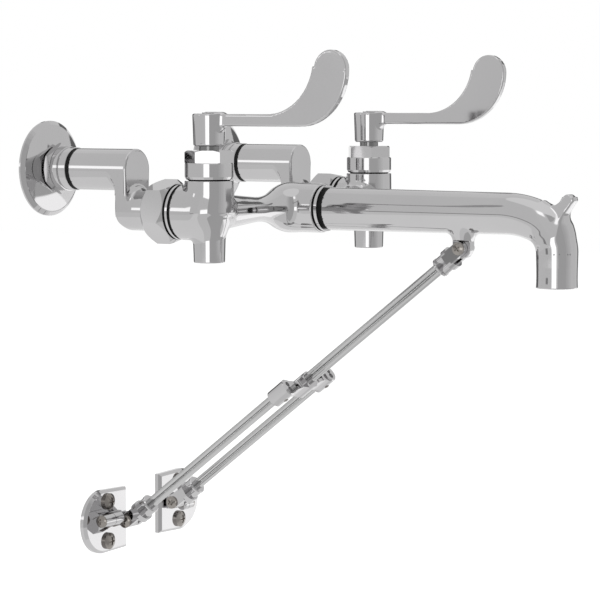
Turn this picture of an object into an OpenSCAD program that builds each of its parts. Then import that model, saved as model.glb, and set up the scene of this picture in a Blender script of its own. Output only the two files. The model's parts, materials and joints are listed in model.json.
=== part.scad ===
// Wall-mounted service sink faucet with crank inlet arms, wrist blade handles, a pail-hook
// spout and an adjustable bottom brace. Millimetres. +Z is up, +X is to the right for a person
// who faces the wall, and -Y points out from the wall. The origin lies on the wall, midway
// between the two supply inlets and level with them.

/* [Supply and inlet arms] */
// Distance between the two supply inlets
inlet_centres = 203.2; // [196:0.1:210]
// Radius of the wall flange
flange_r = 32.6; // [30:0.1:36]
// Height of the flange dome above the wall
flange_rise = 7.6; // [6.5:0.1:8.5]
// Tapped radius of the supply inlet, half-inch pipe
inlet_bore_r = 9.3; // [9.0:0.05:9.6]
// Outer radius of the crank arm barrel
arm_r = 14.1; // [13:0.1:15]
// Distance from the wall to the flat end of the arm
arm_reach = 75.8; // [75:0.1:82]
// Drop from the arm axis to the lower barrel axis
crank_drop = 27.4; // [26:0.1:30]
// Thickness of the crank link, measured out from the wall
link_thick = 9; // [9:0.1:12]
// Width across flats of the coupling nut
coupling_flats = 38; // [36:0.5:39]
// Length of the coupling nut
coupling_length = 18; // [16:0.5:20]

/* [Valve body] */
// Distance from the wall to the valve axes
valve_out = 134.5; // [132:0.5:138]
// Radius of the globe around each valve seat
globe_r = 18.7; // [18:0.1:19.5]
// Radius of the bridge pipe at its waist
waist_r = 8.3; // [7.5:0.1:9.5]
// Radius of the spout hub
hub_r = 17; // [16:0.1:17.5]

/* [Handles] */
// Length of a blade from the valve axis to its tip
blade_reach = 109.6; // [106:0.1:114]
// Thickness of the blade
blade_thick = 5; // [4:0.5:6]
// Turn of each handle away from straight out, in degrees
handle_splay = 2; // [0:0.5:5]

/* [Spout] */
// Distance from the wall to the outlet axis
outlet_out = 339.1; // [330:0.1:345]
// Height of the outlet's lip, below the inlets
outlet_drop = 75.3; // [72:0.1:80]
// Radius of the water way in the spout
spout_bore_r = 11; // [10:0.1:11.5]
// Width of the pail hook
hook_w = 8; // [6:0.5:12]

/* [Bottom brace] */
// Slope of the brace below level, in degrees
brace_angle = 37.83; // [36:0.01:39]
// Distance between the centres of the two legs
leg_spread = 57; // [54:0.5:60]
// Radius of each of the two upper rods
upper_rod_r = 2.05; // [1.9:0.05:2.1]
// Radius of each of the four leg rods
leg_rod_r = 1.85; // [1.7:0.05:1.9]
// Distance from the top pin to the coupler
strut_length = 153.6; // [140:0.1:160]

/* [Hidden] */
$fn = 96;

LEFT = -1;
RIGHT = 1;
eps = 0.01;
fit = 0.05;                     // radial clearance of a running fit
side_gap = 0.3;                 // clearance beside a tongue in its slot
half_centres = inlet_centres / 2;

// Stations along an inlet, measured out from the wall
shank_hex_from = flange_rise + 0.3;
collar_from = 12.5;
collar_groove = 18.5;
seal_from = 25;
arm_from = 27.9;
nut_from = 91.5;
nut_to = nut_from + coupling_length;
body_from = nut_to + 5.5;
lower_r = 13.3;                 // lower barrel of the crank arm
water_r = 7.5;                  // water way through the arms

// Levels in the valve body, below the inlets
bridge_z = -crank_drop;
neck_top = -6.2;
stub_bottom = -60.4;
globe_out = valve_out - 3.4;
bridge_out = globe_out + 1.5;

// Stations along the spout, measured out from the wall
hub_to = 159.7;
ring_from = 161;
ring_to = 163.2;
spout_from = 166.7;
spout_z = -27.7;
first_bend_r = 60;
first_bend = 22.7;
elbow_r = 22;
tube_r = 13.85;
hair = 0.12;                    // step in radius where two stretches of the spout join
lap = 0.4;                      // overlap there
elbow_out = outlet_out - elbow_r;
elbow_z = spout_z - (first_bend_r - (first_bend_r - elbow_r) * cos(first_bend));
bend_out = elbow_out - (first_bend_r - elbow_r) * sin(first_bend);

// The brace runs from the top pin down to the wall. Its own axes are x across, n square to
// the rods and upward, and z back up the rods; s counts down the rods from the top pin.
pin_out = 269.6;
pin_z = -51.6;
fork_length = 23;               // from a fork's pin to its mouth
rod_seat = 7;                   // depth of a rod in its fork
tongue_w = 5.6;
tongue_r = 6.9;                 // rounding of the tongue under the spout
slot_w = tongue_w + 2 * side_gap;
fork_w = 14.2;
fork_pin_r = 2.4;
cheek_r = 4.6;
upper_pitch = 4.33;             // between the two upper rods
leg_pitch = 3.93;               // between the two rods of a leg
coupler_length = 21;
coupler_n = -0.95;
coupler_roll = 4.73;            // one plate sits lower on the wall than the other
leg_x = leg_spread / 2;
low_pin_out = 14.3;             // from the wall to the lower fork pins

// Wall plates. The right knuckle is turned over, so its lug pin lies below the fork pin.
plate_thick = 4.8;
plate_in = 20;                  // straight edge, from the middle of the faucet
plate_half_h = 22.8;
plate_edge_half_h = 21.9;
plate_round_x = 47;
plate_bevel = 2;
plate_screw_x = 43.5;
plate_screw_dz = 14.2;
plate_hole_r = 2.9;
screw_shank_r = 2.6;
screw_tail_r = 2.4;
lug_r = 4.5;
lug_out = 12.8;                 // from the wall to the lug's pin
lug_rise = 3.4;                 // lug pin above the fork pin

// The right knuckle is the short one: its lug stands close beside the fork
function lug_x(side) = side == LEFT ? 50 : 39.9;
function lug_w(side) = side == LEFT ? 11 : 5.5;
function eye_w(side) = side == LEFT ? 9 : 3.6;
function lug_slope(side) = side == LEFT ? 30 : -15;
function leg_n(side) = coupler_n + side * leg_x * tan(coupler_roll);
function leg_s(side) =
    (pin_out - low_pin_out - leg_n(side) * sin(brace_angle)) / cos(brace_angle);
function low_pin_z(side) =
    pin_z - leg_s(side) * sin(brace_angle) + leg_n(side) * cos(brace_angle);
function lug_z(side) = low_pin_z(side) - side * lug_rise;
function plate_z(side) = low_pin_z(side) + (side == LEFT ? 0.5 : -1.8);

// ---------------------------------------------------------------- placing and basic shapes

// Puts a shape whose +Z points out from the wall at x, z, a distance out from the wall
module out_at(x, z, out = 0) {
    translate([x, -out, z]) rotate([90, 0, 0]) children();
}

// Mirrors a left-hand shape for the right-hand side
module on_side(side) {
    if (side == LEFT) children();
    else mirror([1, 0, 0]) children();
}

// Puts a shape in the brace's own axes at a station s below the top pin
module brace_at(s, x = 0, n = 0) {
    translate([0, -pin_out, pin_z]) rotate([90 - brace_angle, 0, 0])
        translate([x, n, -s]) children();
}

// A cylinder along X, centred on the origin
module across(r, w) {
    rotate([0, 90, 0]) cylinder(r = r, h = w, center = true);
}

// Ring with a square section
module ring(inner, outer, h) {
    difference() {
        cylinder(r = outer, h = h);
        translate([0, 0, -1]) cylinder(r = inner, h = h + 2);
    }
}

// Hexagonal bar with its corners chamfered to face_r; the lower end stays sharp if asked
module hex_bar(flats, h, face_r, chamfer, both = true) {
    corner_r = flats / sqrt(3);
    low_r = both ? face_r : corner_r + 1;
    low_c = both ? chamfer : eps;
    intersection() {
        cylinder(r = corner_r, h = h, $fn = 6);
        rotate_extrude() polygon([
            [0, 0], [low_r, 0], [corner_r + 0.02, low_c],
            [corner_r + 0.02, h - chamfer], [face_r, h], [0, h]
        ]);
    }
}

// Pan head with a cross recess, head underside at z = 0
module pan_head(r, h) {
    edge_h = 0.45 * h;
    dome_r = (r * r + (h - edge_h) * (h - edge_h)) / (2 * (h - edge_h));
    difference() {
        rotate_extrude() intersection() {
            square([r, h]);
            union() {
                square([r, edge_h]);
                translate([0, h - dome_r]) circle(r = dome_r);
            }
        }
        for (turn = [0, 90]) rotate([0, 0, turn])
            translate([-0.5 * r, -0.11 * r, h - 0.45 * h]) cube([r, 0.22 * r, h]);
    }
}

// ---------------------------------------------------------------- inlet side

module wall_flange(side) {
    dome_r = (30 * 30 + 4.4 * 4.4) / (2 * 4.4);
    color("silver") on_side(side) out_at(-half_centres, 0) rotate_extrude() difference() {
        union() {
            polygon([[12, 0], [flange_r, 0], [flange_r, 1.3], [flange_r - 2.8, 3.4], [12, 3.4]]);
            intersection() {
                translate([0, 0.1]) square([flange_r - 2.6, flange_rise]);
                translate([0, flange_rise - dome_r]) circle(r = dome_r, $fn = 256);
            }
        }
        intersection() {
            translate([0, -1]) square([flange_r - 5, flange_rise]);
            translate([0, flange_rise - dome_r - 1.6]) circle(r = dome_r, $fn = 256);
        }
        translate([0, -1]) square([13.4, flange_rise + 2]);
    }
}

module inlet_shank(side) {
    color("dimgray") on_side(side) out_at(-half_centres, 0) difference() {
        union() {
            cylinder(r = 13.1, h = shank_hex_from);
            translate([0, 0, shank_hex_from]) rotate([0, 0, 30])
                hex_bar(30.3, collar_from - shank_hex_from, 15.2, 1.4);
            cylinder(r = 10.4 - fit, h = seal_from);
        }
        translate([0, 0, -1]) cylinder(r = inlet_bore_r, h = 17);
        cylinder(r = water_r, h = seal_from + 1);
    }
}

module arm_collar(side) {
    color("silver") on_side(side) out_at(-half_centres, 0) rotate_extrude() polygon([
        [10.4, collar_from], [14.6, collar_from], [15.2, collar_from + 0.6],
        [15.2, collar_groove - 0.3], [14.1, collar_groove], [14.1, collar_groove + 0.5],
        [14.6, collar_groove + 0.9], [14.6, seal_from - 0.3], [14.3, seal_from],
        [10.4, seal_from]
    ]);
}

module arm_seal(side) {
    color("black") on_side(side) out_at(-half_centres, 0, seal_from)
        ring(10.4, arm_r - 0.1, arm_from - seal_from);
}

// Side outline of the arm's link: [out from the wall, up], lower rear corner rounded
module link_profile() {
    corner = 8;
    bottom = -crank_drop - lower_r - 1;
    front = arm_reach;
    rear = arm_reach - link_thick;
    union() {
        translate([rear, bottom + 1 + corner]) square([link_thick, arm_r - bottom]);
        translate([rear + corner, bottom]) square([front - rear - corner, corner + 2]);
        translate([rear + corner, bottom + 1 + corner]) circle(r = corner);
    }
}

module crank_arm(side) {
    lean = asin((arm_r - lower_r) / crank_drop);
    tangent = [cos(lean), -sin(lean)];
    color("silver") on_side(side) translate([-half_centres, 0, 0]) difference() {
        union() {
            out_at(0, 0, arm_from) cylinder(r = arm_r, h = arm_reach - arm_from);
            intersection() {
                out_at(0, 0, arm_reach - link_thick) linear_extrude(link_thick) union() {
                    circle(r = arm_r);
                    translate([0, -crank_drop]) circle(r = lower_r);
                    polygon([
                        [tangent[0] * arm_r, tangent[1] * arm_r],
                        [tangent[0] * lower_r, tangent[1] * lower_r - crank_drop],
                        [-tangent[0] * lower_r, tangent[1] * lower_r - crank_drop],
                        [-tangent[0] * arm_r, tangent[1] * arm_r]
                    ]);
                }
                rotate([0, 0, -90]) rotate([90, 0, 0]) translate([0, 0, -20])
                    linear_extrude(40) link_profile();
            }
            out_at(0, -crank_drop, arm_reach - 4) cylinder(r = lower_r, h = nut_from - arm_reach + 4);
            out_at(0, -crank_drop, nut_from - eps) cylinder(r = 11.5, h = coupling_length - 5);
        }
        out_at(0, 0, arm_from - 1) cylinder(r = water_r, h = arm_reach - arm_from - 2);
        out_at(0, -crank_drop, arm_reach - 6.5) cylinder(r = water_r, h = 60);
        translate([0, -arm_reach + link_thick / 2, -crank_drop])
            cylinder(r = link_thick / 2 - 1.6, h = crank_drop);
    }
}

module coupling_nut(side) {
    turn = side == LEFT ? 12 : 20;
    color("silver") on_side(side) out_at(-half_centres, -crank_drop, nut_from) difference() {
        rotate([0, 0, 90 - turn]) hex_bar(coupling_flats, coupling_length, 18.7, 3.85);
        translate([0, 0, -1]) cylinder(r = 11.5 + fit, h = coupling_length + 2);
        translate([0, 0, coupling_length - 4.9]) cylinder(r = 16, h = 10);
    }
}

module coupling_gasket(side) {
    color("black") on_side(side) out_at(-half_centres, -crank_drop, nut_to - 4.9)
        ring(9, 15.9, 4.9);
    color("black") on_side(side) out_at(-half_centres, -crank_drop, nut_to)
        ring(9, 17.6, body_from - nut_to);
}

module tail_ring(side) {
    color("silver") on_side(side) out_at(-half_centres, -crank_drop, nut_to + 1.6)
        ring(17.6, 18.4, 1.8);
}

// ---------------------------------------------------------------- valve body

// Half of the bridge pipe: a body of revolution about X from the hub to one globe
module bridge_half() {
    flank_r = 58;
    waist_x = 41;
    cone_x = waist_x + 5;
    cone_r = waist_r + flank_r - sqrt(flank_r * flank_r - 25);
    root_x = half_centres - 9.6;
    rotate([0, 90, 0]) rotate_extrude() difference() {
        square([14.5, cone_x]);
        translate([waist_r + flank_r, waist_x]) circle(r = flank_r, $fn = 256);
    }
    translate([cone_x - lap, 0, 0]) rotate([0, 90, 0])
        cylinder(r1 = cone_r - hair, r2 = 12.5, h = root_x - cone_x + lap);
}

module valve_body() {
    color("silver") difference() {
        union() {
            for (side = [LEFT, RIGHT]) on_side(side) {
                translate([-half_centres, -globe_out, bridge_z]) sphere(r = globe_r);
                out_at(-half_centres, bridge_z, body_from)
                    cylinder(r = 18.8, h = globe_out - body_from);
                translate([-half_centres, -valve_out, bridge_z])
                    cylinder(r = 16.6, h = neck_top - bridge_z);
                translate([-half_centres, -valve_out, stub_bottom])
                    cylinder(r1 = 10.4, r2 = 11.4, h = bridge_z - stub_bottom);
                translate([0, -bridge_out, bridge_z]) rotate([0, 0, 180]) bridge_half();
            }
            out_at(0, bridge_z, bridge_out) cylinder(r = hub_r, h = hub_to - bridge_out);
            translate([0, -bridge_out, bridge_z]) sphere(r = hub_r - hair);
        }
        for (side = [LEFT, RIGHT]) on_side(side) {
            translate([-half_centres, -valve_out, bridge_z - 4]) cylinder(r = 12.5, h = 60);
            out_at(-half_centres, bridge_z, body_from - 5) cylinder(r = 9, h = 18);
            // flat rear face against the coupling's gasket
            out_at(-half_centres, bridge_z, body_from - 6) cylinder(r = 25, h = 6);
        }
        translate([0, -bridge_out, bridge_z]) across(5, inlet_centres);
        out_at(0, bridge_z, valve_out) cylinder(r = spout_bore_r, h = 60);
        out_at(0, bridge_z, hub_to - 12) cylinder(r = 13, h = 60);
    }
}

module hub_seal() {
    color("black") out_at(0, bridge_z, hub_to) ring(13, 15, ring_from - hub_to);
}

module hub_ring() {
    color("silver") out_at(0, bridge_z, ring_from) ring(13, 15.7, ring_to - ring_from);
}

module spout_seal() {
    color("black") out_at(0, bridge_z, ring_to) ring(13, 14.2, spout_from - ring_to);
}

// ---------------------------------------------------------------- valve tops and handles

module valve_top(side) {
    on_side(side) translate([-half_centres, -valve_out, 0]) children();
}

module bonnet(side) {
    turn = side == LEFT ? 0 : 22.8;
    color("silver") valve_top(side) difference() {
        union() {
            translate([0, 0, neck_top]) rotate_extrude() polygon([
                [8, 0], [13.6, 0], [15.4, 0.9], [16.2, 2.6], [16.2, 11.2], [15.8, 11.7], [8, 11.7]
            ]);
            translate([0, 0, 5.5]) rotate([0, 0, turn]) hex_bar(28.3, 8.2, 14.6, 1.2, both = false);
            translate([0, 0, neck_top - 8]) cylinder(r = 12.5 - fit, h = 10);
        }
        translate([0, 0, neck_top - 9]) cylinder(r = 10.6, h = 14);
        cylinder(r = 6.7, h = 20);
    }
}

// Ceramic cartridge that the stem turns in
module cartridge(side) {
    color("gainsboro") valve_top(side) difference() {
        translate([0, 0, bridge_z - 4]) union() {
            cylinder(r = 12.3, h = 13);
            cylinder(r = 10.4, h = 26);
        }
        translate([0, 0, bridge_z + 9]) cylinder(r = 6.6 + fit, h = 60);
        translate([0, 0, bridge_z + 1]) across(3.5, 60);
    }
}

module stem(side) {
    top = 36;
    color("dimgray") valve_top(side) difference() {
        union() {
            translate([0, 0, bridge_z + 9.3]) cylinder(r = 6.6, h = 7.1 - bridge_z);
            translate([0, 0, 16]) cylinder(r = 5, h = 14);
        }
        translate([0, 0, 21]) cylinder(r = 1.9, h = top);
    }
}

// Outline of the wrist blade: a level strip that sweeps up into a rounded paddle
module blade_outline() {
    strip_low = 29.6;
    strip_h = 8;
    outer_r = 36.6;
    outer_c = [73, strip_low + outer_r];
    tip_r = 12.4;
    tip_c = [blade_reach - tip_r, 66.1];
    inner_r = 36;
    inner_c = [48, strip_low + strip_h + inner_r];
    translate([0, strip_low]) square([outer_c[0], strip_h]);
    translate(tip_c) circle(r = tip_r);
    intersection() {
        difference() {
            translate(outer_c) circle(r = outer_r);
            translate(inner_c) circle(r = inner_r);
        }
        polygon([
            [inner_c[0], 0], [blade_reach + 20, 0], [blade_reach + 20, tip_c[1] - 1.8],
            tip_c, inner_c
        ]);
    }
}

module handle(side) {
    hub_low = 16.5;
    hub_top = 37.9;
    root_r = 7;
    color("silver") valve_top(side) rotate([0, 0, -90 - handle_splay]) difference() {
        union() {
            rotate_extrude() polygon([
                [0, hub_low], [9.9, hub_low], [10.4, hub_low + 0.5], [11.1, hub_top - 1.6],
                [10.7, hub_top - 0.5], [9.6, hub_top], [0, hub_top]
            ]);
            rotate([90, 0, 0]) translate([0, 0, -blade_thick / 2])
                linear_extrude(blade_thick) blade_outline();
            // gusset that carries the strip into the hub
            rotate([90, 0, 0]) translate([0, 0, -blade_thick / 2])
                linear_extrude(blade_thick) difference() {
                    translate([5, 30 - root_r]) square([5.4 + root_r, root_r]);
                    translate([10.4 + root_r, 30 - root_r]) circle(r = root_r);
                }
        }
        translate([0, 0, hub_low - 1]) cylinder(r = 5 + fit, h = 14.5);
        translate([0, 0, 25]) cylinder(r = 2.1, h = 20);
        translate([0, 0, 33.4]) cylinder(r = 4.7, h = 10);
    }
}

module handle_screw(side) {
    color("dimgray") valve_top(side) {
        translate([0, 0, 23]) cylinder(r = 1.9, h = 10.5);
        translate([0, 0, 33.4]) cylinder(r = 3.6, h = 2.4);
    }
}

module index_button(side) {
    color("silver") valve_top(side) difference() {
        translate([0, 0, 35.9]) cylinder(r = 4.6, h = 2.7);
        translate([0, 0, 34.9]) cylinder(r = 3.2, h = 1.8);
    }
}

// ---------------------------------------------------------------- spout

// Bent stretch of the spout, from its straight run to the drop; each stretch laps into the
// next one and is a hair wider than it
module spout_bends(r) {
    translate([0, -bend_out, spout_z - first_bend_r]) rotate([180, -90, 0])
        rotate_extrude(angle = first_bend + 0.4) translate([first_bend_r, 0]) circle(r = r);
    translate([0, -elbow_out, elbow_z]) rotate([180, -90, 0]) rotate([0, 0, first_bend])
        rotate_extrude(angle = 90 - first_bend) translate([elbow_r, 0]) circle(r = r - hair);
}

// Side outline of the pail hook, measured from the outlet axis: [out, up]
module hook_outline() {
    head = [9, 58.2];
    nose = [12.2, 57.3];
    foot = 29.3;
    translate([outlet_out, -outlet_drop]) difference() {
        union() {
            translate(head) circle(r = 3);
            translate(nose) circle(r = 1.4);
            polygon([head, [10.2, 60.95], [13.1, 58.4], nose]);
            polygon([
                [-9, foot], [-9, 51], [-2, 56], [5.2, 59.4], head, nose, [13.2, 56.5],
                [11.6, 54.2], [10.2, 52], [10.2, 42], [11.3, 38], [11.8, 35], [10, foot]
            ]);
        }
        // saddle for a bail, and the hollow front of the neck
        translate([-3, 62.2]) circle(r = 8.7);
        translate([15, 46.9]) circle(r = 6.85);
    }
}

module spout() {
    lip_z = -outlet_drop;
    color("silver") difference() {
        union() {
            out_at(0, spout_z, spout_from)
                cylinder(r1 = 14.7, r2 = tube_r + hair, h = bend_out + lap - spout_from);
            out_at(0, bridge_z, hub_to - 11) cylinder(r = 13 - fit, h = spout_from - hub_to + 12);
            spout_bends(tube_r);
            translate([0, -outlet_out, 0]) rotate_extrude() polygon([
                [0, elbow_z + lap], [tube_r, elbow_z + lap], [13.4, elbow_z - 3], [13.15, elbow_z - 8],
                [13.25, elbow_z - 14], [13.75, lip_z + 0.5], [13.4, lip_z], [0, lip_z]
            ]);
            rotate([0, 0, -90]) rotate([90, 0, 0]) translate([0, 0, -hook_w / 2])
                linear_extrude(hook_w) hook_outline();
            // boss and tongue that carry the brace
            translate([0, -pin_out, -46.5]) cylinder(r1 = 7.2, r2 = 10.5, h = 10);
            translate([0, -pin_out, pin_z]) across(tongue_r, tongue_w);
            translate([-tongue_w / 2, -pin_out - tongue_r, pin_z])
                cube([tongue_w, 2 * tongue_r, 12]);
        }
        out_at(0, spout_z, hub_to - 12)
            cylinder(r = spout_bore_r + hair, h = bend_out + lap - hub_to + 12);
        spout_bends(spout_bore_r);
        translate([0, -outlet_out, lip_z - 1])
            cylinder(r = spout_bore_r, h = elbow_z + lap - lip_z + 1);
        translate([0, -pin_out, pin_z]) across(fork_pin_r + fit, 40);
    }
}

// ---------------------------------------------------------------- bottom brace

// Fork of the brace in the brace's own axes: its pin lies on the origin along x
module fork(rod_r, pitch) {
    mouth = -fork_length;
    ring_h = 2.2;
    shoulder = 9.5;
    shoulder_h = 4.5;
    difference() {
        union() {
            translate([0, 0, mouth]) rotate_extrude() polygon([
                [0, 0], [6.2, 0], [6.9, 0.7], [6.9, ring_h - 0.5], [6.4, ring_h], [0, ring_h]
            ]);
            for (n = [-1, 1]) translate([0, n * 3.1, mouth]) cylinder(r = 3.5, h = 12);
            intersection() {
                translate([0, 0, -shoulder - shoulder_h]) cylinder(r = 7.8, h = shoulder_h);
                translate([-fork_w / 2, -20, -30]) cube([fork_w, 40, 40]);
            }
            across(cheek_r, fork_w);
            translate([-fork_w / 2, -cheek_r, -shoulder - 1]) cube([fork_w, 2 * cheek_r, shoulder + 1]);
        }
        translate([-slot_w / 2, -20, -shoulder]) cube([slot_w, 40, 40]);
        across(fork_pin_r, fork_w + 2);
        for (n = [-1, 1]) translate([0, n * pitch / 2, mouth - 1]) cylinder(r = rod_r, h = rod_seat + 1);
    }
}

// Cross screw that pins a fork, its head on the left
module cross_pin(head_r, head_h, w) {
    rotate([0, 90, 0]) translate([0, 0, -w / 2]) {
        cylinder(r = fork_pin_r, h = w);
        mirror([0, 0, 1]) pan_head(head_r, head_h);
    }
}

// Pair of rods, one above the other, hanging down from z = 0
module rod_pair(r, pitch, length) {
    for (n = [-1, 1]) translate([0, n * pitch / 2, -length]) cylinder(r = r, h = length);
}

module top_pin() {
    color("dimgray") brace_at(0) cross_pin(4.3, 2.2, fork_w);
}

module top_fork() {
    color("silver") brace_at(0) fork(upper_rod_r, upper_pitch);
}

module upper_rods() {
    color("silver") brace_at(fork_length - rod_seat)
        rod_pair(upper_rod_r, upper_pitch, strut_length - fork_length + rod_seat + 9);
}

// Barrel of the coupler that one leg slides through, with flats on its two sides
module coupler_barrel() {
    intersection() {
        translate([0, 0, -17]) rotate_extrude() polygon([
            [0, 0], [5.5, 0], [6.2, 0.7], [6.2, 15.3], [5.5, 16], [0, 16]
        ]);
        cube([10.8, 30, 60], center = true);
    }
}

module coupler() {
    web_h = 12;
    arch_r = 26;
    barrel_x = leg_x / cos(coupler_roll);
    color("silver") brace_at(strut_length, 0, coupler_n) rotate([0, 0, coupler_roll]) difference() {
        union() {
            for (side = [LEFT, RIGHT]) translate([side * barrel_x, 0, 0]) coupler_barrel();
            translate([0, 0, -14]) cylinder(r = 6.4, h = 14);
            // web with a hollow top and bottom
            translate([0, 0, -14]) linear_extrude(web_h) difference() {
                square([leg_spread, 11.6], center = true);
                for (side = [LEFT, RIGHT], n = [-1, 1])
                    translate([side * leg_x / 2, n * (arch_r + 3)]) circle(r = arch_r);
            }
        }
        // scooped face towards the spout, and the slots beside the middle
        for (side = [LEFT, RIGHT]) {
            translate([side * leg_x / 2, 30, 3.6]) rotate([90, 0, 0]) cylinder(r = 7, h = 60);
            translate([side * (leg_x / 2 + 1.5), 0, -30]) cube([6, 1.6, 60], center = true);
        }
        rotate([0, 0, -coupler_roll]) for (n = [-1, 1])
            translate([0, n * upper_pitch / 2 - coupler_n, -9]) cylinder(r = upper_rod_r, h = 20);
        for (side = [LEFT, RIGHT]) translate([side * barrel_x, 0, 0]) rotate([0, 0, -coupler_roll])
            for (n = [-1, 1]) translate([0, n * leg_pitch / 2, -30])
                cylinder(r = leg_rod_r + fit, h = 60);
        for (side = [LEFT, RIGHT]) translate([side * barrel_x, -3, -9])
            rotate([90, 0, 0]) cylinder(r = 1.6, h = 20);
    }
}

// Grub screws that clamp the legs, one under each barrel
module clamp_screws() {
    color("dimgray") brace_at(strut_length, 0, coupler_n) rotate([0, 0, coupler_roll])
        for (side = [LEFT, RIGHT]) translate([side * leg_x / cos(coupler_roll), -4.2, -9])
            rotate([90, 0, 0]) difference() {
                cylinder(r = 1.6, h = 2.4);
                translate([0, 0, 1.3]) cylinder(r = 0.8, h = 3, $fn = 6);
            }
}

module leg_at(side, s) {
    brace_at(s, side * leg_x, leg_n(side)) children();
}

module leg_rods(side) {
    top = strut_length + 3;
    color("silver") leg_at(side, top)
        rod_pair(leg_rod_r, leg_pitch, leg_s(side) - fork_length + rod_seat - top);
}

module leg_fork(side) {
    color("silver") leg_at(side, leg_s(side)) mirror([0, 0, 1]) fork(leg_rod_r, leg_pitch);
}

module fork_pin(side) {
    color("dimgray") leg_at(side, leg_s(side)) cross_pin(4.6, 2.4, fork_w);
}

// Knuckle between a leg's fork and its wall plate
module knuckle(side) {
    bar_back = 6.2;
    bar_front = 9.3;
    bar_low = side == LEFT ? -4.2 : -5.8;
    eye_x = lug_x(side) - side_gap;
    z = low_pin_z(side);
    color("silver") on_side(side) difference() {
        union() {
            translate([-eye_x + eye_w(side) / 2, -lug_out, lug_z(side)]) across(lug_r, eye_w(side));
            translate([-eye_x, -bar_front, z + bar_low])
                cube([eye_x - leg_x + tongue_w / 2, bar_front - bar_back, 10]);
            translate([-leg_x, -low_pin_out, z]) across(cheek_r, tongue_w);
            translate([-leg_x - tongue_w / 2, -low_pin_out, z - 4.2])
                cube([tongue_w, low_pin_out - bar_back, 8.4]);
        }
        translate([-leg_x, -low_pin_out, z]) across(fork_pin_r + fit, 14);
        translate([-eye_x, -lug_out, lug_z(side)]) across(fork_pin_r + fit, 40);
    }
}

module lug_pin(side) {
    w = lug_w(side) + side_gap + eye_w(side);
    color("dimgray") on_side(side)
        translate([-lug_x(side) - lug_w(side) + w / 2, -lug_out, lug_z(side)])
            cross_pin(4.35, 2.4, w);
}

// Round outer end of a wall plate, with its sloped rim
module plate_round() {
    top_r = plate_half_h - plate_bevel;
    translate([-plate_round_x, 0]) rotate_extrude() polygon([
        [0, 0], [plate_half_h, 0], [plate_half_h, plate_thick - plate_bevel],
        [top_r, plate_thick], [0, plate_thick]
    ]);
}

// Cuts the slope along one straight edge of the plate; the edge runs from a to b
module edge_bevel(a, b) {
    run = b - a;
    translate([a[0], a[1], plate_thick - plate_bevel])
        rotate([0, 0, atan2(run[1], run[0])]) rotate([45, 0, 0])
            translate([-5, -20, 0]) cube([norm(run) + 10, 40, 10]);
}

module wall_plate(side) {
    corner_in = [-plate_in, plate_edge_half_h];
    corner_round = [-plate_round_x, plate_half_h];
    pin_rise = lug_z(side) - plate_z(side);
    web = (lug_out - 1) / cos(lug_slope(side));
    color("silver") on_side(side) translate([0, 0, plate_z(side)]) difference() {
        union() {
            out_at(0, 0) plate_round();
            out_at(0, 0) difference() {
                linear_extrude(plate_thick) polygon([
                    [-plate_round_x, -plate_half_h], [-plate_in, -plate_edge_half_h],
                    corner_in, corner_round
                ]);
                edge_bevel([-plate_in, -plate_edge_half_h], corner_in);
                edge_bevel(corner_in, corner_round);
                edge_bevel([-plate_round_x, -plate_half_h], [-plate_in, -plate_edge_half_h]);
            }
            intersection() {
                translate([-lug_x(side) - lug_w(side), -40, -40]) cube([lug_w(side), 40, 80]);
                translate([-lug_x(side), -lug_out, pin_rise]) union() {
                    across(lug_r, 60);
                    rotate([-lug_slope(side), 0, 0]) translate([-20, 0, -lug_r])
                        cube([30, web, 2 * lug_r]);
                }
            }
        }
        translate([-lug_x(side), -lug_out, pin_rise]) across(fork_pin_r, 60);
        for (dz = [-1, 1]) out_at(-plate_screw_x, dz * plate_screw_dz, -1)
            cylinder(r = plate_hole_r, h = plate_thick + 2);
        // the back is ground flat
        translate([-100, 0, -50]) cube([100, 40, 100]);
    }
}

module plate_screws(side) {
    tail = 8;
    color("dimgray") on_side(side) for (dz = [-1, 1])
        out_at(-plate_screw_x, plate_z(side) + dz * plate_screw_dz, plate_thick) {
            pan_head(6, 4);
            translate([0, 0, -plate_thick]) cylinder(r = screw_shank_r, h = plate_thick);
            translate([0, 0, -plate_thick - tail]) cylinder(r = screw_tail_r, h = tail + 0.5);
        }
}

// ---------------------------------------------------------------- nodes

wall_flange(LEFT);  // wall_flange_left
wall_flange(RIGHT);  // wall_flange_right
inlet_shank(LEFT);  // inlet_shank_left
inlet_shank(RIGHT);  // inlet_shank_right
arm_collar(LEFT);  // arm_collar_left
arm_collar(RIGHT);  // arm_collar_right
arm_seal(LEFT);  // arm_seal_left
arm_seal(RIGHT);  // arm_seal_right
crank_arm(LEFT);  // crank_arm_left
crank_arm(RIGHT);  // crank_arm_right
coupling_nut(LEFT);  // coupling_nut_left
coupling_nut(RIGHT);  // coupling_nut_right
coupling_gasket(LEFT);  // coupling_gasket_left
coupling_gasket(RIGHT);  // coupling_gasket_right
tail_ring(LEFT);  // tail_ring_left
tail_ring(RIGHT);  // tail_ring_right
valve_body();
bonnet(LEFT);  // bonnet_left
bonnet(RIGHT);  // bonnet_right
cartridge(LEFT);  // cartridge_left
cartridge(RIGHT);  // cartridge_right
stem(LEFT);  // stem_left
stem(RIGHT);  // stem_right
handle(LEFT);  // handle_left
handle(RIGHT);  // handle_right
handle_screw(LEFT);  // handle_screw_left
handle_screw(RIGHT);  // handle_screw_right
index_button(LEFT);  // index_button_left
index_button(RIGHT);  // index_button_right
hub_seal();
hub_ring();
spout_seal();
spout();
top_pin();
top_fork();
upper_rods();
coupler();
clamp_screws();
leg_rods(LEFT);  // leg_rods_left
leg_rods(RIGHT);  // leg_rods_right
leg_fork(LEFT);  // leg_fork_left
leg_fork(RIGHT);  // leg_fork_right
fork_pin(LEFT);  // fork_pin_left
fork_pin(RIGHT);  // fork_pin_right
knuckle(LEFT);  // knuckle_left
knuckle(RIGHT);  // knuckle_right
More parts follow.
